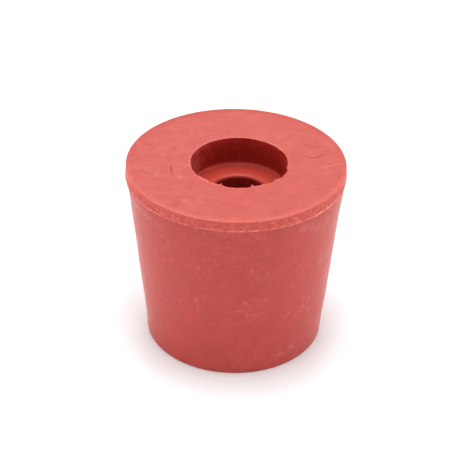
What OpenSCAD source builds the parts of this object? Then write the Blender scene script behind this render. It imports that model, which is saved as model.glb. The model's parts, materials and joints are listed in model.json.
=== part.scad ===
// A tapered rubber stopper with a stepped hole through its middle. It is moulded in one
// piece, and the flash of the mould is trimmed off in a narrow band under the top edge.
// It stands on its narrow end. +Z points up, out of the wide end, and the origin is the
// middle of the base. Sizes are in millimetres.

/* [Body] */
// Diameter of the wide end, measured across the trimmed band
top_d = 36; // [33:0.5:48]
// Diameter of the narrow end
base_d = 30; // [20:0.5:32]
// Height from the base to the top face
height = 32; // [20:0.5:60]

/* [Trimmed band] */
// Height of the band under the top edge
band_h = 1.7; // [0.8:0.1:4]
// How far the band stands out from the taper below it
ledge = 0.25; // [0.1:0.05:0.6]

/* [Stepped hole] */
// Diameter of the wide mouth in the top face
mouth_d = 15.7; // [12:0.1:20]
// Depth of the wide mouth, from the top face to its floor
mouth_depth = 5.1; // [2:0.1:12]
// Diameter of the hole that runs on from the floor to the base
bore_d = 9; // [4:0.1:11]
// Distance from the body's axis to the hole's axis, along +X
hole_shift = 0.45; // [0:0.05:1]

/* [Edges] */
// Rounding of the top edge, where the trimming cut ends
rim_round = 0.15; // [0.05:0.05:0.5]
// Rounding of the moulded edge round the base
base_round = 0.3; // [0.1:0.05:1]
// Fillet between the wall of the mouth and its floor
floor_round = 0.35; // [0.1:0.05:0.6]
// Rounding of the lip where the bore leaves the floor
lip_round = 0.6; // [0.1:0.05:0.7]

/* [Hidden] */
$fn = 96;
rubber_red = [0.80, 0.33, 0.30];
top_r = top_d / 2;
base_r = base_d / 2;
mouth_r = mouth_d / 2;
bore_r = bore_d / 2;
taper_r = top_r - ledge;         // the taper's radius where it meets the band
ledge_z = height - band_h;
floor_z = height - mouth_depth;
taper_angle = atan2(taper_r - base_r, ledge_z);
past = 1;                        // how far a cut runs past the face that it opens

// The unit vector that points along an angle.
function along(angle) = [cos(angle), sin(angle)];

// What a rounding takes off a corner of an outline. The outline's sides leave the corner
// at two angles, with the solid lying anticlockwise from the first to the second.
module rounding_waste(corner, first, second, radius) {
    half = (second - first) / 2;
    middle = along(first + half);
    side = radius / tan(half);
    centre = corner + radius / sin(half) * middle;
    difference() {
        polygon([centre, corner + side * along(first),
                 corner - past * middle, corner + side * along(second)]);
        translate(centre) circle(radius);
    }
}

// Half of the body's outline: base, taper, ledge, trimmed band and top face.
module body_outline() {
    difference() {
        polygon([[0, 0], [base_r, 0], [taper_r, ledge_z],
                 [top_r, ledge_z], [top_r, height], [0, height]]);
        rounding_waste([base_r, 0], 90 - taper_angle, 180, base_round);
        rounding_waste([top_r, height], 180, 270, rim_round);
    }
}

// Half of the stepped hole's outline: the bore, its rounded lip, and the mouth.
module hole_outline() {
    difference() {
        polygon([[0, -past], [bore_r, -past], [bore_r, floor_z],
                 [mouth_r, floor_z], [mouth_r, height + past], [0, height + past]]);
        rounding_waste([mouth_r, floor_z], 90, 180, floor_round);
    }
    rounding_waste([bore_r, floor_z], -90, 0, lip_round);
}

module stopper() {
    color(rubber_red)
    difference() {
        rotate_extrude() body_outline();
        translate([hole_shift, 0, 0]) rotate_extrude() hole_outline();
    }
}

stopper();
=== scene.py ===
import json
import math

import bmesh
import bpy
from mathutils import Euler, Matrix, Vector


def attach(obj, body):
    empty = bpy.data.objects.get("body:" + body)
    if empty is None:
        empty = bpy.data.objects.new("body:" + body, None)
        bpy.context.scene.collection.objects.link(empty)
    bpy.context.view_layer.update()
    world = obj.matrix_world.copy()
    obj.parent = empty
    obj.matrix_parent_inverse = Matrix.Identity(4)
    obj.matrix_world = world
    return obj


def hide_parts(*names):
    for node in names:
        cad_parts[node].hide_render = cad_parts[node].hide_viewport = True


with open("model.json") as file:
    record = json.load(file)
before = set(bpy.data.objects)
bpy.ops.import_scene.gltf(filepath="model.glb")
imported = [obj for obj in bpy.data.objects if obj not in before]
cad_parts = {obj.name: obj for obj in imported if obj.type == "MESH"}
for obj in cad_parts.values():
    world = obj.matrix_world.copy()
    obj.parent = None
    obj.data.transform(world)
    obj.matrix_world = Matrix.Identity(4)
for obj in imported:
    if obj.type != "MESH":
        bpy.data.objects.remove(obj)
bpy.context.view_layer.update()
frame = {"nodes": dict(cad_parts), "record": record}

# %% [markdown]
# # A red rubber stopper with a stepped hole
# The CAD part is already in the scene, with its true sizes. This lesson builds the same piece again
# as a real moulded and trimmed piece of rubber. It goes in small steps: first the sizes, then the
# camera, the floor and the light, then the shape, and last the finish of each of its surfaces.

mm = 0.001

# %% [markdown]
# ## The sizes of the outside
# The sizes could be typed in, but a typed number goes wrong as soon as the part changes. So the CAD
# mesh is the ruler. At each height, its point furthest from the Z axis gives the outline. The lowest
# height with the full radius is the small ledge under the trimmed band, and two heights on the slope
# below it give the taper.

# %% Measure the outside
SLOPE_FROM = 3
SLOPE_TO = 25
cad = frame["nodes"]["stopper"]
outline = {}
for vertex in cad.data.vertices:
    level = round(vertex.co.z / mm, 2)
    reach = math.hypot(vertex.co.x, vertex.co.y) / mm
    outline[level] = max(reach, outline.get(level, 0))
height = max(outline) * mm
top_radius = max(outline.values()) * mm
nearly_full = top_radius - 0.001 * mm
ledge = min(level for level in outline if outline[level] * mm > nearly_full) * mm
on_slope = [level for level in sorted(outline) if SLOPE_FROM < level < SLOPE_TO]
low_level = on_slope[0]
high_level = on_slope[-1]
slope = (outline[high_level] - outline[low_level]) / (high_level - low_level)
base_radius = (outline[low_level] - slope * low_level) * mm
ledge_radius = base_radius + slope * ledge
print("height, ledge, top radius, base radius, radius at the ledge in mm:",
      [round(size / mm, 2) for size in (height, ledge, top_radius, base_radius, ledge_radius)])

# %% [markdown]
# ## The sizes of the hole
# The record's mounts say how wide the mouth and the bore are and where their axis stands. The axis is
# a little off the middle, because the hole of a real stopper is seldom quite centred. The straight
# part of the bore ends where its rounded lip starts, so the floor of the mouth lies one lip higher.

# %% Read the hole
mounts = {mount["name"]: mount for mount in frame["record"]["mounts"]}
mouth_radius = mounts["mouth"]["dims"]["r_mm"] * mm
bore_radius = mounts["through_bore"]["dims"]["r_mm"] * mm
hole_x = mounts["mouth"]["pos_m"][0]
lip_round = 0.6 * mm
mouth_floor = mounts["through_bore"]["dims"]["length_mm"] * mm + lip_round
print("mouth radius, bore radius, mouth floor, hole axis in mm:",
      [round(size / mm, 2) for size in (mouth_radius, bore_radius, mouth_floor, hole_x)])

# %% [markdown]
# ## The camera
# A wide lens close by would make the taper look steeper than it is. A long lens from a quarter of a
# metre keeps its sides straight and calm. The camera looks down at about a third of a right angle, so
# that both the top and the front are seen, and it leans by one degree, as one held by hand does.

# %% Camera
look_down = math.radians(33.58)
lean = math.radians(1.02)
distance = 253.3 * mm
aside = 0.036 * mm
above = 1.404 * mm
camera_data = bpy.data.cameras.new("camera")
camera_data.sensor_width = 36
camera_data.lens = 114.9
camera_data.clip_start = 10 * mm
camera_data.clip_end = 50
camera = bpy.data.objects.new("camera", camera_data)
bpy.context.scene.collection.objects.link(camera)
camera.rotation_mode = "ZYX"
camera.rotation_euler = (math.radians(90) - look_down, 0, lean)
facing = Euler(camera.rotation_euler, "ZYX").to_matrix()
middle = Vector((0, 0, height / 2))
camera.location = middle + facing @ Vector((aside, above, distance))
bpy.context.scene.camera = camera
print("camera at mm:", [round(place / mm, 1) for place in camera.location])

# %% [markdown]
# ## The floor
# A plain white sheet, lit so well that it shows pure white. Red rubber close to a white sheet would
# tint it strongly, so the sheet is a very slightly cool white, and it glows a little, as a sheet on a
# light table does. That leaves only a short soft shadow round the foot of the stopper.

# %% Floor
SHEET_WHITE = (0.82, 0.89, 0.9, 1)
SHEET_GLOW = 0.1
SHEET_SIDE = 6
bpy.ops.object.select_all(action="DESELECT")
bpy.ops.mesh.primitive_plane_add(size=SHEET_SIDE)
floor = bpy.context.object
floor.name = "floor"
white_sheet = bpy.data.materials.new("white_sheet")
white_sheet.use_nodes = True
sheet_shader = white_sheet.node_tree.nodes["Principled BSDF"]
sheet_shader.inputs["Base Color"].default_value = SHEET_WHITE
sheet_shader.inputs["Roughness"].default_value = 0.4
sheet_shader.inputs["Emission Color"].default_value = (1, 1, 1, 1)
sheet_shader.inputs["Emission Strength"].default_value = SHEET_GLOW
floor.data.materials.append(white_sheet)
print("floor:", [round(side, 2) for side in floor.dimensions], "m")

# %% [markdown]
# ## The light
# One soft lamp straight above makes the top the brightest surface and leaves the walls of the hole
# dark. Seven fainter ones stand low around the stopper and light its sides. None stands straight in
# front, where the camera is. Area lamps would need careful placing, but a sun lamp with a wide angle
# is as soft as a big studio box, and lights the whole floor evenly. Turn 0 stands in front, 90 to the
# right, and 180 behind. A sun of strength pi lights a white sheet to full white, so that is the unit.

# %% Lamps
# name, turn, height above the floor in degrees, strength
LAMPS = [
    ("overhead", 0, 90, 0.94),
    ("low_right", 90, 15, 0.3),
    ("low_left", 270, 15, 0.22),
    ("low_back", 180, 15, 0.28),
    ("low_back_right", 135, 15, 0.1),
    ("low_back_left", 225, 15, 0.2),
    ("low_front_right", 45, 15, 0.2),
    ("low_front_left", 315, 15, 0.24),
]
SOFTNESS = math.radians(50)
for name, turn, above_floor, strength in LAMPS:
    lamp_data = bpy.data.lights.new(name, "SUN")
    lamp_data.energy = strength * math.pi
    lamp_data.angle = SOFTNESS
    lamp = bpy.data.objects.new(name, lamp_data)
    lamp.rotation_euler = (math.radians(90 - above_floor), 0, math.radians(turn))
    bpy.context.scene.collection.objects.link(lamp)
print("lamps:", len(LAMPS))

# %% [markdown]
# ## The backdrop and the film
# A bright backdrop could light the stopper alone, but then no side of it would be darker. So this one
# is white where the camera sees it, and gives almost no light of its own. The picture is shown with
# plain colours and a lower gamma, like a contrasty film: it keeps the red deep inside the hole.

# %% Backdrop and film
BACKDROP_LIGHT = 0.02
FILM_GAMMA = 0.67
studio = bpy.data.worlds.new("studio")
studio.use_nodes = True
bpy.context.scene.world = studio
sky = studio.node_tree
dim = sky.nodes["Background"]
dim.inputs["Color"].default_value = (1, 1, 1, 1)
dim.inputs["Strength"].default_value = BACKDROP_LIGHT
seen = sky.nodes.new("ShaderNodeBackground")
seen.inputs["Color"].default_value = (1, 1, 1, 1)
ray = sky.nodes.new("ShaderNodeLightPath")
choice = sky.nodes.new("ShaderNodeMixShader")
sky.links.new(ray.outputs["Is Camera Ray"], choice.inputs["Fac"])
sky.links.new(dim.outputs["Background"], choice.inputs[1])
sky.links.new(seen.outputs["Background"], choice.inputs[2])
sky.links.new(choice.outputs["Shader"], sky.nodes["World Output"].inputs["Surface"])
bpy.context.scene.view_settings.view_transform = "Standard"
bpy.context.scene.view_settings.gamma = FILM_GAMMA
print("film gamma:", round(bpy.context.scene.view_settings.gamma, 2))

# %% [markdown]
# ## The blank
# The stopper is round about one axis. A profile could be spun round it in one go, but a cone that is
# pushed along, step by step, keeps every size readable. It stops three millimetres under the ledge,
# because the rubber flares out there a little, and that stretch needs finer rows of faces. With 720
# corners round, the faces are about as small as the torn marks.

# %% Blank
AROUND = 720
flare_level = ledge - 3 * mm
flare_radius = base_radius + slope * flare_level
bpy.ops.object.select_all(action="DESELECT")
bpy.ops.mesh.primitive_cone_add(
    vertices=AROUND, radius1=base_radius, radius2=flare_radius, depth=flare_level,
    location=(0, 0, flare_level / 2))
stopper = bpy.context.object
stopper.name = "moulded_stopper"
stopper.data.name = "moulded_stopper"
bpy.ops.object.transform_apply(location=True)
print("blank:", len(stopper.data.vertices), "corners")

# %% [markdown]
# ## Picking by place
# Every step below works on what is selected. Blender may number the corners in another order in the
# next run, so numbers can't be used. These helpers select corners, edges or faces by asking each one
# where it lies. A ring is a circle round a vertical axis: where its axis stands in X, its radius, and
# its height.

# %% Helpers that pick
def from_axis(point, axis_x=0.0):
    return math.hypot(point.x - axis_x, point.y)


def on_ring(point, ring):
    axis_x, radius, level = ring
    near = 0.02 * mm
    return abs(point.z - level) < near and abs(from_axis(point, axis_x) - radius) < near


def pick(kind, test):
    bpy.ops.mesh.select_mode(type=kind)
    bpy.ops.mesh.select_all(action="DESELECT")
    shape = bmesh.from_edit_mesh(bpy.context.object.data)
    parts = {"VERT": shape.verts, "EDGE": shape.edges, "FACE": shape.faces}[kind]
    chosen = [part for part in parts if test(part)]
    for part in chosen:
        part.select_set(True)
    bmesh.update_edit_mesh(bpy.context.object.data)
    return len(chosen)


print("a ring of the base:", [round(size / mm, 1) for size in (0, base_radius, 0)])

# %% [markdown]
# ## The outline, pushed up and down
# The top face is pushed on like dough: up to the ledge, a step outwards, up the trimmed band, inwards
# to the edge of the mouth, down to the floor of the mouth, inwards to the bore, and down to the base.

# %% Push the face along
def push(up=0.0, sideways=0.0, wider=1.0):
    bpy.ops.mesh.extrude_region()
    bpy.ops.transform.resize(value=(wider, wider, 1))
    bpy.ops.transform.translate(value=(sideways, 0, up))


bpy.context.scene.tool_settings.transform_pivot_point = "MEDIAN_POINT"
bpy.ops.object.mode_set(mode="EDIT")
pick("FACE", lambda face: len(face.verts) == AROUND and face.normal.z > 0.9)
push(up=ledge - flare_level, wider=ledge_radius / flare_radius)
push(wider=top_radius / ledge_radius)
push(up=height - ledge)
push(wider=mouth_radius / top_radius, sideways=hole_x)
push(up=mouth_floor - height)
push(wider=bore_radius / mouth_radius)
push(up=-mouth_floor)
print("end faces:", pick("FACE", lambda face: len(face.verts) == AROUND))

# %% [markdown]
# ## The open base
# A Boolean would cut the hole through, but leaves thin crooked faces. Here the bore already ends in a
# face that lies in the base. Both end faces go, and the ring between their edges is bridged, so the
# hole runs right through, the skin is closed again, and every row of faces stays in line.

# %% Open the bore
bpy.ops.mesh.delete(type="ONLY_FACE")
pick("EDGE", lambda edge: edge.is_boundary)
bpy.ops.mesh.bridge_edge_loops()
bpy.ops.mesh.select_all(action="SELECT")
bpy.ops.mesh.normals_make_consistent(inside=False)
print("open edges:", pick("EDGE", lambda edge: edge.is_boundary))

# %% [markdown]
# ## Rounded corners
# Neither a mould nor a knife gives a perfectly sharp corner. The lip of the bore is the softest, the
# rim the crispest of the outside ones, and the knife left the edges of the hole almost sharp. A Bevel
# on the whole mesh would round them all alike, so each edge ring is picked and bevelled on its own.

# %% Round the corners
def round_corner(ring, size, steps):
    found = pick("EDGE", lambda edge: all(on_ring(corner.co, ring) for corner in edge.verts))
    bpy.ops.mesh.bevel(offset=size, offset_type="OFFSET", segments=steps, profile=0.5, affect="EDGES")
    print("rounded", found, "edges by", round(size / mm, 2), "mm")


rim_round = 0.15 * mm
base_round = 0.27 * mm
floor_round = 0.35 * mm
cut_round = 0.06 * mm
round_corner((0, top_radius, height), rim_round, 4)
round_corner((0, base_radius, 0), base_round, 4)
round_corner((hole_x, mouth_radius, mouth_floor), floor_round, 4)
round_corner((hole_x, bore_radius, mouth_floor), lip_round, 6)
round_corner((hole_x, mouth_radius, height), cut_round, 2)
round_corner((hole_x, bore_radius, 0), cut_round, 2)

# %% [markdown]
# ## Rows of faces
# Roughness needs small faces to work on. A Subdivision Surface would make them small everywhere, and
# soften the corners too. So the long faces are divided into rows, most where the surface is rough: on
# the torn band, on the wall of the mouth, and on the cut top. The smooth bore needs only a few.

# %% Divide into rows
def add_rows(start, end, rows):
    def crosses(edge):
        first, second = (corner.co for corner in edge.verts)
        return (on_ring(first, start) and on_ring(second, end)) or (
            on_ring(first, end) and on_ring(second, start))

    found = pick("EDGE", crosses)
    bpy.ops.mesh.subdivide(number_cuts=rows - 1)
    print(rows, "rows between", [round(size / mm, 2) for size in start + end], "on", found, "edges")


tilt = math.atan(slope)
foot = (0, base_radius + base_round * math.sin(tilt), base_round * math.cos(tilt))
flare_ring = (0, flare_radius, flare_level)
ledge_inner = (0, ledge_radius, ledge)
ledge_outer = (0, top_radius, ledge)
rim_outer = (0, top_radius, height - rim_round)
rim_inner = (0, top_radius - rim_round, height)
mouth_outer = (hole_x, mouth_radius + cut_round, height)
wall_top = (hole_x, mouth_radius, height - cut_round)
wall_foot = (hole_x, mouth_radius, mouth_floor + floor_round)
floor_outer = (hole_x, mouth_radius - floor_round, mouth_floor)
floor_inner = (hole_x, bore_radius + lip_round, mouth_floor)
bore_head = (hole_x, bore_radius, mouth_floor - lip_round)
bore_foot = (hole_x, bore_radius, cut_round)
base_inner = (hole_x, bore_radius + cut_round, 0)
base_outer = (0, base_radius - base_round, 0)
add_rows(foot, flare_ring, 14)
add_rows(flare_ring, ledge_inner, 9)
add_rows(ledge_inner, ledge_outer, 3)
add_rows(ledge_outer, rim_outer, 16)
add_rows(rim_inner, mouth_outer, 26)
add_rows(wall_top, wall_foot, 20)
add_rows(floor_outer, floor_inner, 6)
add_rows(bore_head, bore_foot, 6)
add_rows(base_inner, base_outer, 4)
bpy.ops.object.mode_set(mode="OBJECT")
print("triangles:", sum(len(face.vertices) - 2 for face in stopper.data.polygons))

# %% [markdown]
# ## Zones that take a roughness
# A vertex group says how strongly a modifier works at each corner, from 0 to 1. Each zone below is
# drawn by one small rule about place: how far from the axis, how high, and in which direction. A
# direction of 0 degrees points right, along X, and -90 points to the front.

# %% Helpers for zones
def fade(value, start, end):
    share = min(max((value - start) / (end - start), 0), 1)
    return share * share * (3 - 2 * share)


def direction(point, axis_x=0.0):
    return math.degrees(math.atan2(point.y, point.x - axis_x))


def near_angle(angle, centre, width):
    apart = abs((angle - centre + 180) % 360 - 180)
    return 1 - fade(apart, 0.5 * width, width)


def mark_zone(name, weight_at):
    too_faint = 0.001
    zone = stopper.vertex_groups.new(name=name)
    marked = 0
    for vertex in stopper.data.vertices:
        weight = weight_at(vertex.co)
        if weight > too_faint:
            zone.add([vertex.index], weight, "REPLACE")
            marked += 1
    print("zone", name, "has", marked, "corners")


print("half faded:", fade(0.5, 0, 1))

# %% [markdown]
# ## Zones on the trimmed band
# The flash was torn off round the rim. The tear runs from just under the rim down to the foot of the
# band, and is weaker at the far left and the far right. The foot is a thin broken fin, and the lower
# part of the band hangs down a little over the taper. The corners of the band are kept in a set, so
# that they can still be told from the taper once they have moved.

# %% Zones on the band
hair = 0.01 * mm


def torn_band(point):
    if from_axis(point) < top_radius - 0.4 * mm or point.z < ledge - hair:
        return 0
    torn = fade(height - point.z, 0.2 * mm, 0.85 * mm) * fade(point.z - ledge, 0, 0.35 * mm)
    calm_left = 0.7 * near_angle(direction(point), 180, 35)
    calm_right = 0.6 * near_angle(direction(point), 0, 35)
    return torn * (1 - calm_left - calm_right)


def foot_line(point):
    if from_axis(point) < top_radius - 0.02 * mm:
        return 0
    return 1 - fade(abs(point.z - ledge), 0.02 * mm, 0.2 * mm)


def hanging_foot(point):
    if from_axis(point) < ledge_radius + 0.08 * mm or point.z < ledge - 0.1 * mm:
        return 0
    return 1 - fade(point.z, ledge, ledge + 1.1 * mm)


band_corners = {
    vertex.index for vertex in stopper.data.vertices
    if from_axis(vertex.co) > ledge_radius - hair and vertex.co.z > ledge - hair}
print("corners on the band:", len(band_corners))
mark_zone("torn_band", torn_band)
mark_zone("foot_line", foot_line)
mark_zone("hanging_foot", hanging_foot)

# %% [markdown]
# ## Zones inside the hole
# The wall of the mouth is scored up and down on the right, where the cutter chattered, and scraped
# more faintly elsewhere, most of all on the left. The bore starts a little nearer to the front than it
# ends, and the cut edge of the mouth is ragged all round.

# %% Zones inside the hole
def mouth_wall(point):
    off_wall = abs(from_axis(point, hole_x) - mouth_radius)
    if off_wall > 0.2 * mm or point.z < mouth_floor + floor_round:
        return 0
    return fade(point.z - mouth_floor, floor_round, 3 * floor_round)


def scored_wall(point):
    return mouth_wall(point) * near_angle(direction(point, hole_x), -22, 42)


def scraped_wall(point):
    return mouth_wall(point) * (0.25 + 0.75 * near_angle(direction(point, hole_x), -150, 45))


def bore_top(point):
    reach = from_axis(point, hole_x)
    if reach > mouth_radius - 0.5 * mm or point.z > mouth_floor + 0.3 * mm or point.z < 1 * mm:
        return 0
    across = 1 - fade(reach, bore_radius + 0.8 * mm, mouth_radius - 0.6 * mm)
    return across * fade(point.z, 14 * mm, 24 * mm)


def cut_edge(point):
    off_edge = max(abs(from_axis(point, hole_x) - mouth_radius), height - point.z)
    return 1 - fade(off_edge, 0.1 * mm, 0.6 * mm)


mark_zone("scored_wall", scored_wall)
mark_zone("scraped_wall", scraped_wall)
mark_zone("bore_top", bore_top)
mark_zone("cut_edge", cut_edge)

# %% [markdown]
# ## The zone of the top
# The sliced top lies a little lower than its rim and the edge of the mouth, which stand up round it.
# Its zone is all of the top but those two edges.

# %% Zone of the top
def sunk_top(point):
    if point.z < height - hair:
        return 0
    from_rim = top_radius - from_axis(point)
    from_mouth = from_axis(point, hole_x) - mouth_radius
    return fade(from_rim, 0.25 * mm, 0.9 * mm) * fade(from_mouth, 0.1 * mm, 0.8 * mm)


mark_zone("sunk_top", sunk_top)

# %% [markdown]
# ## Zones of the outside
# A soft moulding is never a perfect cone. This one swells a little on the right and on the left,
# mostly just below the ledge, and low on the left it is drawn in. The swelling takes the ledge along
# and fades out up the band. All the rest of the outside is only faintly uneven.

# %% Zones of the outside
def is_outside(point):
    return from_axis(point) > base_radius + slope * point.z - 0.3 * mm and point.z > 0


def flare_share(point):
    if not is_outside(point):
        return 0
    if point.z < ledge + hair and from_axis(point) < ledge_radius + 0.1 * mm:
        return 1
    return 0.65 * (1 - fade(point.z, ledge, height - 0.3 * mm))


def flared_right(point):
    swell = 0.45 * fade(point.z, 3 * mm, 9 * mm) + 0.55 * fade(point.z, 24.5 * mm, flare_level)
    return swell * near_angle(direction(point), 5, 85) * flare_share(point)


def flared_left(point):
    swell = 0.35 * fade(point.z, 18 * mm, 24 * mm) + 0.65 * fade(point.z, 27.4 * mm, 29.2 * mm)
    return swell * near_angle(direction(point), 180, 70) * flare_share(point)


def drawn_in_left(point):
    if from_axis(point) < base_radius - 1.5 * mm or point.z > 16 * mm:
        return 0
    lower = (1 - fade(point.z, 3 * mm, 16 * mm)) * (0.15 + 0.85 * fade(point.z, 0, 3 * mm))
    return lower * near_angle(direction(point), 180, 70)


mark_zone("flared_right", flared_right)
mark_zone("flared_left", flared_left)
mark_zone("drawn_in_left", drawn_in_left)
mark_zone("outside", lambda point: 0.6 if is_outside(point) and point.z < ledge - 0.3 * mm else 0)

# %% [markdown]
# ## Moving and roughening
# Sculpting by hand would give such bumps too, but could not be repeated. A Displace modifier can, and
# its vertex group says where it works. Without a pattern it moves a whole zone, along the normals or
# along one axis. With a cloudy pattern it roughens. A middle level of 1 means that it only ever moves
# inwards, so the stopper keeps its size. One near 0.5 moves in and out, and is used only in the hole.
# Where the pattern is to run up and down, an empty with a tall scale stretches it, and goes again
# once the modifier is applied.

# %% Displace helpers
def apply_to_stopper(modifier):
    with bpy.context.temp_override(object=stopper, active_object=stopper):
        bpy.ops.object.modifier_apply(modifier=modifier.name)


def move_zone(zone, depth, way="NORMAL"):
    shift = stopper.modifiers.new(zone, "DISPLACE")
    shift.direction = way
    shift.vertex_group = zone
    shift.strength = depth
    shift.mid_level = 0
    apply_to_stopper(shift)
    print("moved", zone, "by", round(depth / mm, 3), "mm")


def roughen(zone, kind, size, depth, middle_level=1.0, contrast=1.0, tall=1.0):
    pattern = bpy.data.textures.new(zone + "_pattern", kind)
    pattern.noise_scale = size
    pattern.contrast = contrast
    push_in = stopper.modifiers.new(zone, "DISPLACE")
    push_in.texture = pattern
    push_in.vertex_group = zone
    push_in.strength = depth
    push_in.mid_level = middle_level
    push_in.texture_coords = "OBJECT"
    bpy.ops.object.empty_add(scale=(1, 1, tall))
    push_in.texture_coords_object = bpy.context.object
    bpy.context.view_layer.update()
    apply_to_stopper(push_in)
    bpy.ops.object.delete()
    print("roughened", zone, "to", round(depth / mm, 3), "mm")


print("modifiers waiting:", len(stopper.modifiers))

# %% [markdown]
# ## The broad moves
# The large unevenness of the moulding comes first, because the fine one has to lie on top of it.

# %% Move the zones
bore_shift = -0.36 * mm
move_zone("flared_right", 0.22 * mm)
move_zone("flared_left", 0.24 * mm)
move_zone("drawn_in_left", 0.18 * mm, "X")
move_zone("hanging_foot", -0.24 * mm, "Z")
move_zone("sunk_top", -0.07 * mm)
move_zone("torn_band", -0.03 * mm)
move_zone("bore_top", bore_shift, "Y")

# %% [markdown]
# ## The fine roughness
# The torn band is the roughest, with a second, finer grain over the first. The scores and scrapes of
# the mouth's wall are thin and tall. The top and the taper get only long, shallow waves.

# %% Roughen the zones
roughen("torn_band", "CLOUDS", 0.9 * mm, 0.17 * mm, contrast=1.6)
roughen("torn_band", "STUCCI", 0.35 * mm, 0.03 * mm)
roughen("foot_line", "CLOUDS", 0.8 * mm, 0.1 * mm, contrast=1.6)
roughen("scored_wall", "CLOUDS", 0.48 * mm, 0.4 * mm, middle_level=0.6, contrast=1.3, tall=14)
roughen("scraped_wall", "CLOUDS", 0.5 * mm, 0.2 * mm, middle_level=0.5, contrast=1.3, tall=10)
roughen("cut_edge", "CLOUDS", 0.4 * mm, 0.12 * mm, contrast=1.5)
roughen("sunk_top", "CLOUDS", 3.5 * mm, 0.05 * mm)
roughen("outside", "CLOUDS", 2.5 * mm, 0.04 * mm)

# %% [markdown]
# ## What the knife left at the mouth
# The cutter did not leave a clean circle. It chipped the edge in two places on the right, left three
# shallow flaps at the front, and raised two tiny burrs between them. A pattern can't put such marks
# in the right place, so each is pulled out of the edge one by one: a few corners are picked by their
# direction, and a soft pull takes their neighbours along.

# %% Pull the edge of the mouth
# direction and spread in degrees, pull inwards, pull up, reach of the soft pull
EDGE_PULLS = [
    (-26, 8, -0.3 * mm, 0, 1.1 * mm),
    (18, 6, -0.12 * mm, 0, 1.2 * mm),
    (-117, 6, 0.22 * mm, 0, 1.0 * mm),
    (-136, 4, 0.3 * mm, 0, 1.1 * mm),
    (-66, 5, 0.14 * mm, 0, 1.0 * mm),
    (-112, 0.6, 0.4 * mm, 0.1 * mm, 0.26 * mm),
    (-73.5, 0.6, 0.45 * mm, 0.12 * mm, 0.26 * mm),
]
near_edge = 0.35 * mm


def pull_edge(angle, spread, inwards, up, reach):
    def on_mouth_edge(corner):
        off = abs(from_axis(corner.co, hole_x) - mouth_radius) + abs(corner.co.z - height)
        turned = abs((direction(corner.co, hole_x) - angle + 180) % 360 - 180)
        return off < near_edge and turned < spread

    found = pick("VERT", on_mouth_edge)
    turn = math.radians(angle)
    bpy.ops.transform.translate(
        value=(-inwards * math.cos(turn), -inwards * math.sin(turn), up),
        use_proportional_edit=True, proportional_edit_falloff="SMOOTH", proportional_size=reach)
    print("pulled", found, "corners at", angle, "degrees by", round(inwards / mm, 2), "mm")


bpy.ops.object.select_all(action="DESELECT")
bpy.context.view_layer.objects.active = stopper
stopper.select_set(True)
bpy.ops.object.mode_set(mode="EDIT")
for edge_pull in EDGE_PULLS:
    pull_edge(*edge_pull)
bpy.ops.object.mode_set(mode="OBJECT")
print("highest corner in mm:", round(max(vertex.co.z for vertex in stopper.data.vertices) / mm, 3))

# %% [markdown]
# ## Small helpers for materials
# A material is a net of nodes. Wiring each node by hand hides what the net is for, so these helpers
# add a node, do a sum, and lay one colour over another by a mask, and the cells below read like a
# recipe. Every pattern sits on the object's own coordinates, so it stays put as the stopper turns.

# %% Node helpers
def add_node(tree, kind, **settings):
    node = tree.nodes.new(kind)
    for name, value in settings.items():
        setattr(node, name, value)
    return node


def set_inputs(node, **values):
    for name, value in values.items():
        node.inputs[name.replace("_", " ")].default_value = value
    return node


def maths(tree, operation, first, second=0.0):
    node = add_node(tree, "ShaderNodeMath", operation=operation)
    for place, value in enumerate((first, second)):
        if isinstance(value, bpy.types.NodeSocket):
            tree.links.new(value, node.inputs[place])
        else:
            node.inputs[place].default_value = value
    return node.outputs["Value"]


def times(tree, first, second):
    return maths(tree, "MULTIPLY", first, second)


def vector_maths(tree, operation, first, second=None):
    node = add_node(tree, "ShaderNodeVectorMath", operation=operation)
    tree.links.new(first, node.inputs[0])
    if second is not None:
        tree.links.new(second, node.inputs[1])
    return node


def rescale(tree, value, start, end, low_end=0.0, high_end=1.0):
    node = add_node(tree, "ShaderNodeMapRange", interpolation_type="SMOOTHSTEP")
    set_inputs(node, From_Min=start, From_Max=end, To_Min=low_end, To_Max=high_end)
    tree.links.new(value, node.inputs["Value"])
    return node.outputs["Result"]


print("node helpers:", [helper.__name__ for helper in (maths, times, vector_maths, rescale)])

# %% Colour and place helpers
COLOUR_BELOW = 6
COLOUR_ABOVE = 7
COLOUR_OUT = 2


def tint(tree, mask, below, above):
    node = add_node(tree, "ShaderNodeMix", data_type="RGBA")
    tree.links.new(mask, node.inputs[0])
    for place, colour in ((COLOUR_BELOW, below), (COLOUR_ABOVE, above)):
        if isinstance(colour, bpy.types.NodeSocket):
            tree.links.new(colour, node.inputs[place])
        else:
            node.inputs[place].default_value = (*colour, 1)
    return node.outputs[COLOUR_OUT]


def veil(tree, colour, mask, amount, above):
    return tint(tree, times(tree, mask, amount), colour, above)


def cloud(tree, where, size, detail=3.0, roughness=0.55):
    node = add_node(tree, "ShaderNodeTexNoise")
    set_inputs(node, Scale=1 / size, Detail=detail, Roughness=roughness)
    tree.links.new(where, node.inputs["Vector"])
    return node.outputs["Fac"]


def object_place(tree):
    return tree.nodes.new("ShaderNodeTexCoord").outputs["Object"]


def split_place(tree, where):
    node = add_node(tree, "ShaderNodeSeparateXYZ")
    tree.links.new(where, node.inputs["Vector"])
    return node.outputs


def stretched_place(tree, where, scale, turn=0.0):
    node = add_node(tree, "ShaderNodeMapping")
    tree.links.new(where, node.inputs["Vector"])
    node.inputs["Scale"].default_value = scale
    node.inputs["Rotation"].default_value = (0, 0, turn)
    return node.outputs["Vector"]


print("a cloud of 2 mm has a scale of", round(1 / (2 * mm)))
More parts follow.
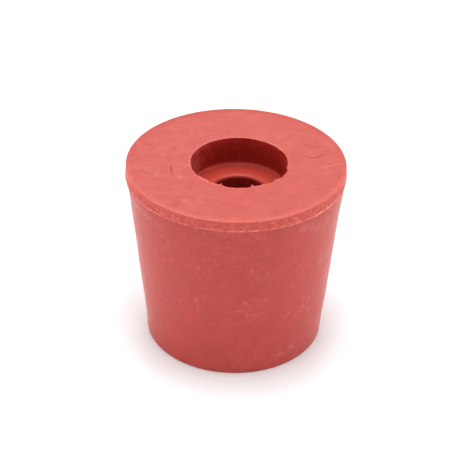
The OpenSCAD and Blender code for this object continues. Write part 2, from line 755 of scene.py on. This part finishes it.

# %% [markdown]
# ## Shared effects
# Four effects come back on several surfaces, so each is a node group with its own knobs. Grain is the
# uneven red of the mixed rubber. Bloom is the pale powder that old rubber sweats out, in small specks
# that keep together. A mark is a scratch or a rub between two points. A ring line is a thin line round
# an axis, for a rubbed edge or for a painted highlight along an edge.

# %% Start a group
def start_group(name, inputs, outputs):
    group = bpy.data.node_groups.new(name, "ShaderNodeTree")
    for socket_name, kind, value in inputs:
        socket = group.interface.new_socket(socket_name, in_out="INPUT", socket_type=kind)
        socket.default_value = value
    for socket_name in outputs:
        group.interface.new_socket(socket_name, in_out="OUTPUT", socket_type="NodeSocketFloat")
    into = group.nodes.new("NodeGroupInput")
    out = group.nodes.new("NodeGroupOutput")
    return group, into, out, object_place(group)


def use_group(tree, group, **values):
    node = add_node(tree, "ShaderNodeGroup", node_tree=group)
    return set_inputs(node, **values)


FLOAT = "NodeSocketFloat"
VECTOR = "NodeSocketVector"
print("group sockets:", FLOAT, VECTOR)

# %% Grain
grain, into, out, place = start_group(
    "rubber_grain", [("Stretch", VECTOR, (1, 1, 1))], ["Patches", "Grit"])
stretched = vector_maths(grain, "MULTIPLY", place, into.outputs["Stretch"])
wide = cloud(grain, stretched.outputs["Vector"], 2.6 * mm, 4, 0.6)
fine = cloud(grain, stretched.outputs["Vector"], 0.5 * mm, 2, 0.6)
grain.links.new(rescale(grain, wide, 0.3, 0.7), out.inputs["Patches"])
grain.links.new(rescale(grain, fine, 0.25, 0.75), out.inputs["Grit"])
print("made", grain.name)

# %% Bloom
SPECK_CELL = 0.95 * mm
bloom, into, out, place = start_group(
    "bloom_specks", [("Amount", FLOAT, 0.5)], ["Mask"])
cells = add_node(bloom, "ShaderNodeTexVoronoi")
set_inputs(cells, Scale=1 / SPECK_CELL)
bloom.links.new(place, cells.inputs["Vector"])
speck = rescale(bloom, cells.outputs["Distance"], 0.62, 0.1)
chance = add_node(bloom, "ShaderNodeSeparateColor")
bloom.links.new(cells.outputs["Color"], chance.inputs["Color"])
chosen = rescale(bloom, chance.outputs["Red"], 0.55, 0.95)
cluster = rescale(bloom, cloud(bloom, place, 4.5 * mm, 2), 0.47, 0.62)
specks = times(bloom, times(bloom, speck, chosen), cluster)
haze = times(bloom, rescale(bloom, cloud(bloom, place, 1.1 * mm, 3), 0.45, 0.75), cluster)
both = maths(bloom, "ADD", specks, times(bloom, haze, 0.6))
bloom.links.new(times(bloom, both, into.outputs["Amount"]), out.inputs["Mask"])
print("made", bloom.name)

# %% Mark: a shaky place
mark, into, out, place = start_group(
    "mark", [("From", VECTOR, (0, 0, 0)), ("To", VECTOR, (1, 0, 0)), ("Width", FLOAT, 0.2 * mm),
             ("Depth", FLOAT, 1.0), ("Wobble", FLOAT, 0.5 * mm)], ["Mask"])
wobble = add_node(mark, "ShaderNodeTexNoise")
set_inputs(wobble, Scale=1 / (0.6 * mm), Detail=2)
mark.links.new(place, wobble.inputs["Vector"])
centred = vector_maths(mark, "SUBTRACT", wobble.outputs["Color"])
centred.inputs[1].default_value = (0.5, 0.5, 0.5)
small = vector_maths(mark, "SCALE", centred.outputs["Vector"])
mark.links.new(into.outputs["Wobble"], small.inputs["Scale"])
shaken = vector_maths(mark, "ADD", place, small.outputs["Vector"]).outputs["Vector"]
print("started", mark.name)

# %% Mark: how far it is to the line
along = vector_maths(mark, "SUBTRACT", into.outputs["To"], into.outputs["From"]).outputs["Vector"]
offset = vector_maths(mark, "SUBTRACT", shaken, into.outputs["From"]).outputs["Vector"]
reached = vector_maths(mark, "DOT_PRODUCT", offset, along).outputs["Value"]
whole = vector_maths(mark, "DOT_PRODUCT", along, along).outputs["Value"]
share = maths(mark, "DIVIDE", reached, whole)
held = maths(mark, "MINIMUM", maths(mark, "MAXIMUM", share, 0.0), 1.0)
nearest = vector_maths(mark, "SCALE", along)
mark.links.new(held, nearest.inputs["Scale"])
gap = vector_maths(mark, "SUBTRACT", offset, nearest.outputs["Vector"]).outputs["Vector"]
far = vector_maths(mark, "LENGTH", gap).outputs["Value"]
closeness = maths(mark, "SUBTRACT", 1.0, maths(mark, "DIVIDE", far, into.outputs["Width"]))
ends = times(mark, held, maths(mark, "SUBTRACT", 1.0, held))
thinning = rescale(mark, ends, -0.06, 0.1)
line = times(mark, rescale(mark, closeness, 0.0, 0.8), thinning)
mark.links.new(times(mark, line, into.outputs["Depth"]), out.inputs["Mask"])
print("made", mark.name)

# %% Ring line
ring_line, into, out, place = start_group(
    "ring_line", [("Axis", VECTOR, (0, 0, 0)), ("Radius", FLOAT, top_radius), ("Width", FLOAT, 0.3 * mm)],
    ["Mask"])
from_centre = vector_maths(ring_line, "SUBTRACT", place, into.outputs["Axis"]).outputs["Vector"]
flat = vector_maths(ring_line, "MULTIPLY", from_centre)
flat.inputs[1].default_value = (1, 1, 0)
reach = vector_maths(ring_line, "LENGTH", flat.outputs["Vector"]).outputs["Value"]
away = maths(ring_line, "ABSOLUTE", maths(ring_line, "SUBTRACT", reach, into.outputs["Radius"]))
close = maths(ring_line, "SUBTRACT", 1.0, maths(ring_line, "DIVIDE", away, into.outputs["Width"]))
ring_line.links.new(rescale(ring_line, close, 0.0, 1.0), out.inputs["Mask"])
print("made", ring_line.name)

# %% [markdown]
# ## The rubber itself
# Every surface is the same red rubber, so each material starts from one recipe: a satin skin with a
# strong clear gloss at grazing angles, a breath of pale sheen from the powder on it, and a red that
# wanders a little. Pepper adds the finest pale and dark grains of the filler. Plain plastic would be
# evenly red and shiny, so it is the sheen and the grains that say rubber. Only then does each surface
# get what its tool left on it.

# %% Rubber recipe
RED = (0.645, 0.104, 0.083)
DEEP_RED = (0.595, 0.087, 0.069)
PALE = (0.73, 0.26, 0.23)
DARK = (0.4, 0.05, 0.038)


def rubber(name, roughness, gloss, sheen, stretch=(1, 1, 1)):
    material = bpy.data.materials.new(name)
    material.use_nodes = True
    tree = material.node_tree
    shader = tree.nodes["Principled BSDF"]
    set_inputs(shader, Roughness=roughness, Specular_IOR_Level=gloss)
    set_inputs(shader, Sheen_Weight=sheen, Sheen_Roughness=0.3)
    grains = use_group(tree, grain, Stretch=stretch)
    stopper.data.materials.append(material)
    return tree, shader, grains


def pepper(tree, grains, colour, amount):
    low = rescale(tree, grains.outputs["Grit"], 0.5, 0.1, 0.0, amount)
    high = rescale(tree, grains.outputs["Grit"], 0.5, 0.9, 0.0, amount)
    return tint(tree, high, tint(tree, low, colour, DARK), PALE)


def finish_rubber(tree, shader, colour, height_value, bump, roughness_value=None):
    tree.links.new(colour, shader.inputs["Base Color"])
    relief = add_node(tree, "ShaderNodeBump")
    set_inputs(relief, Strength=1.0, Distance=bump)
    tree.links.new(height_value, relief.inputs["Height"])
    tree.links.new(relief.outputs["Normal"], shader.inputs["Normal"])
    if roughness_value is not None:
        tree.links.new(roughness_value, shader.inputs["Roughness"])
    print("finished", stopper.data.materials[-1].name, "with", len(tree.nodes), "nodes")


print("rubber red:", RED)

# %% [markdown]
# ## The moulded skin
# The taper and the base came out of a smooth mould. Their skin is satin, with soft patches, powder
# specks that keep together, and a few rubs where the stopper was handled. The rubs are not spread by
# chance: each is a short pale mark between two points on the taper, broken up by a cloud.

# %% Moulded skin
tree, shader, grains = rubber("moulded_skin", 0.4, 1.0, 0.3, stretch=(1, 1, 1.15))
colour = pepper(tree, grains, tint(tree, grains.outputs["Patches"], DEEP_RED, RED), 0.07)
powder = use_group(tree, bloom, Amount=0.3)
colour = tint(tree, powder.outputs["Mask"], colour, PALE)
print("skin and powder:", len(tree.nodes), "nodes")

# %% Rubs on the skin
def on_taper(angle, level):
    radius = base_radius + slope * level
    turn = math.radians(angle)
    return (radius * math.cos(turn), radius * math.sin(turn), level)


# from, to, width, depth
SKIN_RUBS = [
    (on_taper(-65, 2.2 * mm), on_taper(-48, 3.3 * mm), 1.0 * mm, 0.46),
    (on_taper(-55, 28.8 * mm), on_taper(-44, 28.0 * mm), 1.3 * mm, 0.36),
    (on_taper(-48, 27.2 * mm), on_taper(-33, 27.6 * mm), 1.5 * mm, 0.32),
    (on_taper(-82.3, 12.4 * mm), on_taper(-82.0, 13.2 * mm), 0.35 * mm, 0.3),
    (on_taper(-72.2, 15.3 * mm), on_taper(-72.0, 16.3 * mm), 0.25 * mm, 0.45),
    (on_taper(-34, 18.6 * mm), on_taper(-34.5, 20.8 * mm), 1.2 * mm, 0.25),
]
rubbed = None
for start, end, width, depth in SKIN_RUBS:
    rub = use_group(tree, mark, From=start, To=end, Width=width, Depth=depth)
    if rubbed is None:
        rubbed = rub.outputs["Mask"]
    else:
        rubbed = maths(tree, "MAXIMUM", rubbed, rub.outputs["Mask"])
patchy = rescale(tree, cloud(tree, object_place(tree), 0.9 * mm), 0.3, 0.6)
colour = veil(tree, colour, rubbed, patchy, PALE)
relief_height = maths(tree, "ADD", grains.outputs["Grit"], powder.outputs["Mask"])
skin_roughness = rescale(tree, grains.outputs["Patches"], 0.0, 1.0, 0.36, 0.45)
finish_rubber(tree, shader, colour, relief_height, 0.012 * mm, skin_roughness)

# %% [markdown]
# ## The cut top
# A blade sliced the top flat after moulding, so it is duller than the skin and less deeply red. A
# cloud that is stretched along the cut gives the faint streaks the blade left, and the same powder
# lies over them.

# %% Cut top
TOP_DEEP = (0.55, 0.119, 0.096)
TOP_RED = (0.59, 0.14, 0.112)
TOP_STREAK = (0.66, 0.18, 0.15)
tree, shader, grains = rubber("cut_top", 0.45, 1.0, 0.12)
place = object_place(tree)
colour = tint(tree, grains.outputs["Patches"], TOP_DEEP, TOP_RED)
along_cut = stretched_place(tree, place, (0.16, 1.0, 1.0), math.radians(-6))
colour = pepper(tree, grains, colour, 0.09)
streaks = rescale(tree, cloud(tree, along_cut, 0.45 * mm, 3), 0.35, 0.7)
colour = veil(tree, colour, streaks, 0.04, TOP_STREAK)
powder = use_group(tree, bloom, Amount=0.14)
colour = tint(tree, powder.outputs["Mask"], colour, PALE)
print("top and powder:", len(tree.nodes), "nodes")

# %% [markdown]
# ## Smudges on the top
# Handling left pale smudges and a few darker shades, mostly on the left. Both are clouds, and a ramp
# across the top makes them stronger towards that side.

# %% Smudges
TOP_SMUDGE = (0.6, 0.19, 0.17)
TOP_SHADE = (0.42, 0.07, 0.06)
top_spot = split_place(tree, place)
handled = maths(tree, "MAXIMUM", rescale(tree, top_spot["X"], 2 * mm, -10 * mm), 0.25)
smudges = times(tree, handled, rescale(tree, cloud(tree, place, 1.5 * mm, 3), 0.42, 0.7))
colour = veil(tree, colour, smudges, 0.4, TOP_SMUDGE)
shade = times(tree, handled, rescale(tree, cloud(tree, place, 2.1 * mm, 3), 0.55, 0.3))
colour = veil(tree, colour, shade, 0.22, TOP_SHADE)
print("top and smudges:", len(tree.nodes), "nodes")

# %% [markdown]
# ## Nicks and scratches
# The marks that catch the eye are a dark nick on the left, a curved scratch with a scuff on the right,
# and small pale rubs here and there. A painted picture could carry them, but goes soft close up. The
# mark group stays sharp, and the curved scratch is three short marks end to end.

# %% Marks on the top
def on_top(x, y):
    return (x * mm, y * mm, height)


# from, to, width, depth, colour
TOP_MARKS = [
    (on_top(-10.6, -1.6), on_top(-10.35, -3.6), 0.38 * mm, 0.75, DARK),
    (on_top(-10.45, -3.3), on_top(-9.8, -5.1), 0.3 * mm, 0.45, DARK),
    (on_top(11.0, 2.3), on_top(12.5, 1.85), 0.36 * mm, 0.4, DARK),
    (on_top(12.0, 1.87), on_top(13.6, 2.2), 0.4 * mm, 0.55, DARK),
    (on_top(13.2, 2.0), on_top(14.5, 3.1), 0.4 * mm, 0.5, DARK),
    (on_top(10.9, 6.5), on_top(13.6, 5.1), 0.5 * mm, 0.25, DARK),
    (on_top(8.8, 9.25), on_top(10.7, 9.05), 0.4 * mm, 0.25, DARK),
    (on_top(15.4, -11.4), on_top(15.6, -11.2), 0.3 * mm, 0.5, DARK),
    (on_top(13.94, -1.1), on_top(17.5, 0.3), 0.35 * mm, 0.4, PALE),
    (on_top(-8.2, -11.7), on_top(-7.6, -12.0), 0.9 * mm, 0.3, PALE),
    (on_top(-5.9, -11.6), on_top(-5.2, -12.9), 0.8 * mm, 0.25, PALE),
    (on_top(-13.2, -3.4), on_top(-12.4, -4.8), 0.8 * mm, 0.25, PALE),
    (on_top(-9.3, -4.4), on_top(-8.6, -5.4), 0.8 * mm, 0.25, PALE),
    (on_top(8.2, 6.9), on_top(8.9, 6.2), 0.45 * mm, 0.4, PALE),
]
for start, end, width, depth, finish in TOP_MARKS:
    scratch = use_group(tree, mark, From=start, To=end, Width=width, Depth=depth, Wobble=0.22 * mm)
    colour = tint(tree, scratch.outputs["Mask"], colour, finish)
print("marks on the top:", len(TOP_MARKS))

# %% [markdown]
# ## The rubbed and lit edges of the top
# Hands and tubes rub the edges first. A pale line follows the rim, towards the front only: part wear,
# part painted highlight where the rim catches the light. Another, also part wear and part painted
# highlight, goes all round the mouth.

# %% Rubbed edges and painted highlights
RIM_WEAR_AND_HIGHLIGHT = (0.74, 0.22, 0.18)
MOUTH_WEAR_AND_HIGHLIGHT = (0.7, 0.2, 0.165)
# A pale line along the rim, strongest towards the front: part wear, part painted highlight.
rim_wear_and_highlight_line = use_group(tree, ring_line, Radius=top_radius - 0.25 * mm, Width=0.45 * mm)
front = rescale(tree, top_spot["Y"], 3 * mm, -7 * mm, 0.0, 0.42)
colour = veil(tree, colour, rim_wear_and_highlight_line.outputs["Mask"], front, RIM_WEAR_AND_HIGHLIGHT)
# A pale line round the mouth: part wear, part painted highlight on its edge.
mouth_wear_and_highlight_line = use_group(
    tree, ring_line, Axis=(hole_x, 0, 0), Radius=mouth_radius + 0.15 * mm, Width=0.5 * mm)
colour = veil(tree, colour, mouth_wear_and_highlight_line.outputs["Mask"], 0.5, MOUTH_WEAR_AND_HIGHLIGHT)
relief_height = maths(tree, "ADD", grains.outputs["Grit"], times(tree, streaks, 0.08))
cut_roughness = rescale(tree, grains.outputs["Grit"], 0.0, 1.0, 0.4, 0.5)
finish_rubber(tree, shader, colour, relief_height, 0.012 * mm, cut_roughness)

# %% [markdown]
# ## The torn band
# The flash was pulled off round the rim, which left a rough strip: dull, with small pale ridges and
# pits painted dark as shade in their hollows. Its reds are paler than the skin's: partly the torn
# rubber, partly painted light, because the upright band gets more light from above. Its shape is
# already torn, so one cloud, a little finer than the tears, now gives colour, bump and gloss together:
# a torn ridge is paler, higher and shinier at once, and a pit is lower and painted darker.

# %% Torn band
# The band's reds are paler than the skin's: partly the torn rubber, partly painted light.
BAND_DEEP = (0.67, 0.13, 0.104)
BAND_RED = (0.74, 0.16, 0.13)
RIDGE = (0.82, 0.29, 0.25)
tree, shader, grains = rubber("torn_band", 0.55, 0.9, 0.25)
place = object_place(tree)
colour = tint(tree, grains.outputs["Grit"], BAND_DEEP, BAND_RED)
fine_place = stretched_place(tree, place, (1.4, 1.4, 1.8))
ridge_pattern = cloud(tree, fine_place, 0.9 * mm, 3, 0.55)
ridges = rescale(tree, ridge_pattern, 0.5, 0.68)
# Pits: painted shade in the hollows of the torn relief.
pit_shade = rescale(tree, ridge_pattern, 0.42, 0.3)
band_spot = split_place(tree, place)
below_rim = rescale(tree, band_spot["Z"], height - 0.2 * mm, height - 0.6 * mm)
colour = veil(tree, colour, ridges, times(tree, below_rim, 0.6), RIDGE)
colour = veil(tree, colour, pit_shade, times(tree, below_rim, 0.25), DARK)
print("ridges and pits:", len(tree.nodes), "nodes")

# %% [markdown]
# ## Painted highlights and shade along the band
# Light and dark lines run along the band, all painted light: a painted highlight on the rim itself, a
# painted shade on a strip under it, and the palest, a painted highlight along the fin at the foot,
# whose upper face catches the light from above. The fin's highlight is broken by a cloud, and it fades
# towards the left, where the fin was torn off closer.

# %% Painted lines along the band
STRIP_SHADE = (0.5, 0.07, 0.05)
RIM_HIGHLIGHT = (0.86, 0.27, 0.22)
FIN_HIGHLIGHT = (0.88, 0.36, 0.32)
# Painted shade on the strip under the rim.
off_strip = maths(tree, "ABSOLUTE", maths(tree, "SUBTRACT", band_spot["Z"], height - 0.46 * mm))
colour = tint(tree, rescale(tree, off_strip, 0.34 * mm, 0.1 * mm, 0.0, 0.15), colour, STRIP_SHADE)
# Painted highlight on the rim.
rim_highlight = rescale(tree, band_spot["Z"], height - 0.2 * mm, height - 0.08 * mm, 0.0, 0.75)
colour = tint(tree, rim_highlight, colour, RIM_HIGHLIGHT)
# Painted highlight along the fin at the foot, fading to the left.
off_foot = maths(tree, "ABSOLUTE", maths(tree, "SUBTRACT", band_spot["Z"], ledge - 0.16 * mm))
broken = rescale(tree, cloud(tree, place, 1.3 * mm, 2), 0.35, 0.6, 0.1, 0.85)
to_right = rescale(tree, band_spot["X"], -9 * mm, 2 * mm, 0.35, 1.0)
broken = times(tree, broken, to_right)
fin_highlight = times(tree, rescale(tree, off_foot, 0.3 * mm, 0.1 * mm), broken)
colour = tint(tree, fin_highlight, colour, FIN_HIGHLIGHT)
fine_grit = times(tree, grains.outputs["Grit"], 0.5)
relief_height = maths(tree, "ADD", times(tree, ridge_pattern, 3.0), fine_grit)
torn_roughness = rescale(tree, ridge_pattern, 0.3, 0.7, 0.6, 0.48)
finish_rubber(tree, shader, colour, relief_height, 0.02 * mm, torn_roughness)

# %% [markdown]
# ## Inside the hole
# The hole was cut by a tool that left fine lines up and down its wall. Its reds are deeper than the
# skin's: partly fresh cut rubber, partly painted shade, as little light reaches in. Light that falls in
# bounces from red to red, which makes it deeper still. A painted shade darkens the lower part of the
# wall.

# %% Cut wall and bore
# The hole's reds: partly fresh cut rubber, partly painted shade.
HOLE_DEEP = (0.5, 0.052, 0.036)
HOLE_RED = (0.56, 0.07, 0.05)
TOOL_LINE = (0.66, 0.14, 0.12)
LOW_WALL_SHADE = (0.36, 0.02, 0.01)
tree, shader, grains = rubber("cut_hole", 0.5, 0.6, 0.05)
place = object_place(tree)
colour = tint(tree, grains.outputs["Patches"], HOLE_DEEP, HOLE_RED)
tall_place = stretched_place(tree, place, (1.0, 1.0, 0.12))
lines = rescale(tree, cloud(tree, tall_place, 0.5 * mm, 3), 0.35, 0.65)
colour = veil(tree, colour, lines, 0.08, TOOL_LINE)
hole_spot = split_place(tree, place)
on_wall = rescale(tree, hole_spot["Z"], mouth_floor + 0.4 * mm, mouth_floor + 0.9 * mm)
# Painted shade: darker lower on the wall, deeper into the mouth.
depth_in = rescale(tree, hole_spot["Z"], height - 0.6 * mm, height - 3.2 * mm)
low_wall_shade = times(tree, on_wall, depth_in)
colour = veil(tree, colour, low_wall_shade, 0.45, LOW_WALL_SHADE)
print("wall and bore:", len(tree.nodes), "nodes")

# %% [markdown]
# ## Powder and painted light in the hole
# Powder lies where nothing rubs it away: as a haze on the left half of the wall, thicker at the far
# left, where a painted sheen joins it. Along the fold where the wall meets the floor of the mouth runs
# a painted highlight, where the rounded fold catches the light.

# %% Haze, dust with painted sheen, and the fold's painted highlight
HAZE = (0.7, 0.2, 0.18)
LEFT_DUST_AND_SHEEN = (0.8, 0.33, 0.3)
FOLD_HIGHLIGHT = (0.7, 0.27, 0.24)
haze_place = times(tree, on_wall, rescale(tree, hole_spot["X"], 3 * mm, -3 * mm, 0.15, 1.0))
haze = times(tree, haze_place, rescale(tree, cloud(tree, place, 1.8 * mm, 3), 0.48, 0.75))
colour = veil(tree, colour, haze, 0.5, HAZE)
# Far left of the wall: pale dust with a painted sheen.
left_wall = rescale(tree, hole_spot["X"], -4.5 * mm, -7.4 * mm)
dust_and_sheen = times(tree, left_wall, rescale(tree, cloud(tree, place, 1.5 * mm), 0.3, 0.6))
colour = veil(tree, colour, dust_and_sheen, 0.55, LEFT_DUST_AND_SHEEN)
# Painted highlight along the fold.
off_fold = maths(tree, "ABSOLUTE", maths(tree, "SUBTRACT", hole_spot["Z"], mouth_floor + 0.3 * mm))
fold_highlight = rescale(tree, off_fold, 0.34 * mm, 0.08 * mm)
colour = veil(tree, colour, fold_highlight, 0.6, FOLD_HIGHLIGHT)
print("fold at mm:", round((mouth_floor + 0.3 * mm) / mm, 2))

# %% [markdown]
# ## The floor of the mouth and the lit lip
# The flat floor is painted paler than the walls, as painted light where it faces the lamp above, and
# the rounded lip of the bore carries a paler painted highlight still. The lip's line is centred where
# the bore starts, a little to the front.

# %% Floor and lip
MOUTH_FLOOR = (0.55, 0.115, 0.08)
LIP_HIGHLIGHT = (0.7, 0.17, 0.14)
# Painted light on the floor of the mouth, which faces the lamp above.
floor_part = rescale(tree, hole_spot["Z"], mouth_floor + 0.1 * mm, mouth_floor + 0.02 * mm)
above_bore = rescale(tree, hole_spot["Z"], mouth_floor - 0.8 * mm, mouth_floor - 0.3 * mm)
colour = veil(tree, colour, floor_part, above_bore, MOUTH_FLOOR)
# Painted highlight on the rounded lip of the bore.
lip_highlight_line = use_group(
    tree, ring_line, Axis=(hole_x, bore_shift, 0), Radius=bore_radius + 0.55 * mm, Width=1.0 * mm)
on_floor = rescale(tree, hole_spot["Z"], mouth_floor - 0.5 * mm, mouth_floor - 0.25 * mm, 0.0, 0.6)
colour = veil(tree, colour, lip_highlight_line.outputs["Mask"], on_floor, LIP_HIGHLIGHT)
relief_height = maths(tree, "ADD", grains.outputs["Grit"], times(tree, lines, 0.5))
finish_rubber(tree, shader, colour, relief_height, 0.02 * mm)

# %% [markdown]
# ## Which faces get which finish
# The materials lie in slots 0 to 3, in the order they were made. Faces could be picked one ring after
# another, but the edges are torn by now, so each face asks where it lies and which way it looks.

# %% Share the finishes out
SKIN = 0
TOP = 1
BAND = 2
HOLE = 3
around_mouth = 0.6 * mm
edge_depth = 0.07 * mm
chip_depth = 0.25 * mm


def finish_at(centre, normal_up, corners):
    reach = from_axis(centre, hole_x)
    below_top = height - centre.z
    if reach < mouth_radius + around_mouth:
        if below_top < edge_depth or (below_top < chip_depth and normal_up > 0.6):
            return TOP
        return HOLE if centre.z > hair or reach < bore_radius + 0.1 * mm else SKIN
    if centre.z > height - 0.3 * mm and normal_up > 0.7:
        return TOP
    if all(corner in band_corners for corner in corners):
        return BAND
    return SKIN


counts = [0, 0, 0, 0]
for face in stopper.data.polygons:
    slot = finish_at(face.center, face.normal.z, face.vertices)
    face.material_index = slot
    counts[slot] += 1
print("faces of skin, top, band, hole:", counts)

# %% Smooth the shading
SHARP = math.radians(50)
bpy.ops.object.select_all(action="DESELECT")
bpy.context.view_layer.objects.active = stopper
stopper.select_set(True)
bpy.ops.object.shade_smooth_by_angle(angle=SHARP)
print("triangles:", sum(len(face.vertices) - 2 for face in stopper.data.polygons))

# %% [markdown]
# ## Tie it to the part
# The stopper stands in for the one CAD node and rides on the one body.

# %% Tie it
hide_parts("stopper")
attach(stopper, "root")
